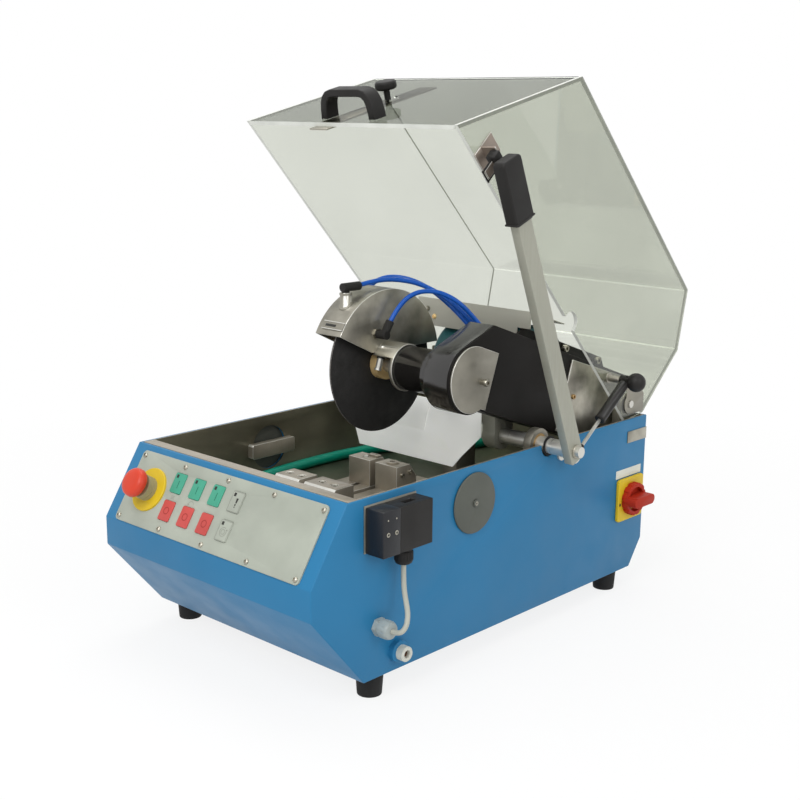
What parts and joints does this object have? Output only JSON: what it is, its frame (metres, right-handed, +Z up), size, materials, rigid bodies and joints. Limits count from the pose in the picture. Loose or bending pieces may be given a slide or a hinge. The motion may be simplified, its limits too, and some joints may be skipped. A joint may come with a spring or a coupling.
{
  "type": "metallographic cutting machine",
  "caption": "Bench metallographic cutting machine: sheet-steel base with tub and slotted clamping table, belt-driven abrasive wheel on a lever-swung arm, hinged clear hood.",
  "frame": {"origin": "on the floor, at the centre of the four rubber feet", "axes": "+X to the operator's right, towards the lever; +Y to the back, towards the hood hinge; +Z up"},
  "size_m": [0.4265, 0.7557, 0.6945],
  "materials": {
    "casing_paint": "satin blue enamel",
    "foot_rubber": "matt",
    "stainless": "satin stainless sheet",
    "panel_grey": "matt grey film",
    "green_plastic": "matt",
    "red_plastic": "matt",
    "white_plastic": "matt",
    "estop_yellow": "matt",
    "estop_red": "semi-gloss",
    "switch_yellow": "matt",
    "black_plastic": "matt",
    "gland_grey": "matt",
    "cable_grey": "matt",
    "cover_grey": "satin",
    "ground_steel": "ground",
    "aluminium": "milled",
    "bronze": "machined bronze",
    "brass": "machined",
    "table_steel": "milled stainless",
    "arm_black": "satin black enamel",
    "motor_teal": "satin enamel",
    "belt_rubber": "matt",
    "abrasive": "bonded abrasive",
    "hose_blue": "smooth",
    "hose_green": "smooth",
    "clear_acrylic": "polished"
  },
  "bodies": {
    "machine_base": {"base_shell": "casing_paint", "rubber_feet": "foot_rubber", "tub_liner": "stainless", "control_panel": "panel_grey", "estop_base": "estop_yellow", "safety_switch": "black_plastic", "cable_glands": "gland_grey", "switch_cable": "cable_grey", "port_covers": "cover_grey", "port_clamps": "ground_steel", "main_switch_plate": "switch_yellow", "bearing_blocks": "aluminium", "shaft_bushes": "bronze", "deflector": "stainless", "table_plates": "table_steel", "rear_jaws": "table_steel", "flush_hose": "hose_green", "brass_fittings": "brass", "hinge_brackets": "stainless", "pivot_pins": "ground_steel"},
    "arm": {"pivot_shaft": "ground_steel", "lever_bar": "aluminium", "lever_grip": "black_plastic", "arm_bracket": "aluminium", "arm_housing": "arm_black", "belt_cover": "arm_black", "arm_covers": "stainless", "spindle_housing": "arm_black", "spindle_bearings": "ground_steel", "drive_belt": "belt_rubber", "motor_plate": "arm_black", "motor_body": "motor_teal", "fan_cover": "motor_teal", "splash_cover": "cover_grey", "wheel_guard": "stainless", "hose_fittings": "black_plastic", "coolant_hoses": "hose_blue"},
    "spindle": {"spindle_shaft": "ground_steel", "cutting_wheel": "abrasive", "wheel_flanges": "brass"},
    "rotor": {"motor_rotor": "ground_steel"},
    "hood": {"hood_wrap": "clear_acrylic", "hood_sides": "clear_acrylic", "hood_handle": "black_plastic", "hood_fittings": "stainless"},
    "latch": {"hood_latch": "stainless"},
    "strut_lower": {"strut_rod": "ground_steel"},
    "strut_upper": {"strut_tube": "black_plastic"},
    "estop": {"estop_head": "estop_red"},
    "switch_dial": {"main_switch_dial": "estop_red"},
    "jaw_left": {"front_jaw_left": "table_steel"},
    "jaw_right": {"front_jaw_right": "table_steel"},
    "green_key_left_body": {"green_key_left": "green_plastic"},
    "green_key_middle_body": {"green_key_middle": "green_plastic"},
    "green_key_right_body": {"green_key_right": "green_plastic"},
    "white_key_upper_body": {"white_key_upper": "white_plastic"},
    "red_key_left_body": {"red_key_left": "red_plastic"},
    "red_key_middle_body": {"red_key_middle": "red_plastic"},
    "red_key_right_body": {"red_key_right": "red_plastic"},
    "white_key_lower_body": {"white_key_lower": "white_plastic"}
  },
  "joints": [
    {"name": "arm_pivot", "type": "hinge", "parent": "machine_base", "child": "arm", "pos_m": [0.1, 0.066, 0.241], "axis": [1, 0, 0], "range_deg": [0, 33]},
    {"name": "spindle_spin", "type": "hinge", "parent": "arm", "child": "spindle", "pos_m": [0.05, -0.0485, 0.3375], "axis": [1, 0, 0], "continuous": true},
    {"name": "motor_spin", "type": "hinge", "parent": "arm", "child": "rotor", "pos_m": [0.1, 0.13983, 0.31468], "axis": [1, 0, 0], "continuous": true},
    {"name": "hood_hinge", "type": "hinge", "parent": "machine_base", "child": "hood", "pos_m": [0, 0.26, 0.262], "axis": [1, 0, 0], "range_deg": [0, 47.6]},
    {"name": "latch_slide", "type": "slide", "parent": "hood", "child": "latch", "axis": [0, 0.9711, 0.2388], "range_m": [0, 0.014]},
    {"name": "strut_swing", "type": "hinge", "parent": "machine_base", "child": "strut_lower", "pos_m": [0.207, 0.092, 0.225], "axis": [1, 0, 0], "range_deg": [-25, 2]},
    {"name": "strut_slide", "type": "slide", "parent": "strut_lower", "child": "strut_upper", "axis": [0, 0.8056, 0.5925], "range_m": [-0.039, 0.001]},
    {"name": "estop_press", "type": "slide", "parent": "machine_base", "child": "estop", "axis": [0, 0.8441, -0.5362], "range_m": [0, 0.005], "stiffness_N_per_m": 1200},
    {"name": "main_switch_turn", "type": "hinge", "parent": "machine_base", "child": "switch_dial", "pos_m": [0.195, 0.254, 0.132], "axis": [1, 0, 0], "range_deg": [0, 90]},
    {"name": "jaw_left_slide", "type": "slide", "parent": "machine_base", "child": "jaw_left", "axis": [0, 1, 0], "range_m": [0, 0.085]},
    {"name": "jaw_right_slide", "type": "slide", "parent": "machine_base", "child": "jaw_right", "axis": [0, 1, 0], "range_m": [0, 0.085]},
    {"name": "green_key_left_press", "type": "slide", "parent": "machine_base", "child": "green_key_left_body", "axis": [0, 0.8441, -0.5362], "range_m": [0, 0.0008], "stiffness_N_per_m": 800},
    {"name": "green_key_middle_press", "type": "slide", "parent": "machine_base", "child": "green_key_middle_body", "axis": [0, 0.8441, -0.5362], "range_m": [0, 0.0008], "stiffness_N_per_m": 800},
    {"name": "green_key_right_press", "type": "slide", "parent": "machine_base", "child": "green_key_right_body", "axis": [0, 0.8441, -0.5362], "range_m": [0, 0.0008], "stiffness_N_per_m": 800},
    {"name": "white_key_upper_press", "type": "slide", "parent": "machine_base", "child": "white_key_upper_body", "axis": [0, 0.8441, -0.5362], "range_m": [0, 0.0008], "stiffness_N_per_m": 800},
    {"name": "red_key_left_press", "type": "slide", "parent": "machine_base", "child": "red_key_left_body", "axis": [0, 0.8441, -0.5362], "range_m": [0, 0.0008], "stiffness_N_per_m": 800},
    {"name": "red_key_middle_press", "type": "slide", "parent": "machine_base", "child": "red_key_middle_body", "axis": [0, 0.8441, -0.5362], "range_m": [0, 0.0008], "stiffness_N_per_m": 800},
    {"name": "red_key_right_press", "type": "slide", "parent": "machine_base", "child": "red_key_right_body", "axis": [0, 0.8441, -0.5362], "range_m": [0, 0.0008], "stiffness_N_per_m": 800},
    {"name": "white_key_lower_press", "type": "slide", "parent": "machine_base", "child": "white_key_lower_body", "axis": [0, 0.8441, -0.5362], "range_m": [0, 0.0008], "stiffness_N_per_m": 800}
  ],
  "couplings": [
    {"joint": "motor_spin", "follows": "spindle_spin", "ratio": 1},
    {"joint": "strut_swing", "follows": "hood_hinge", "ratio": -0.45143},
    {"joint": "strut_slide", "follows": "hood_hinge", "m_per_rad": -0.046218}
  ]
}
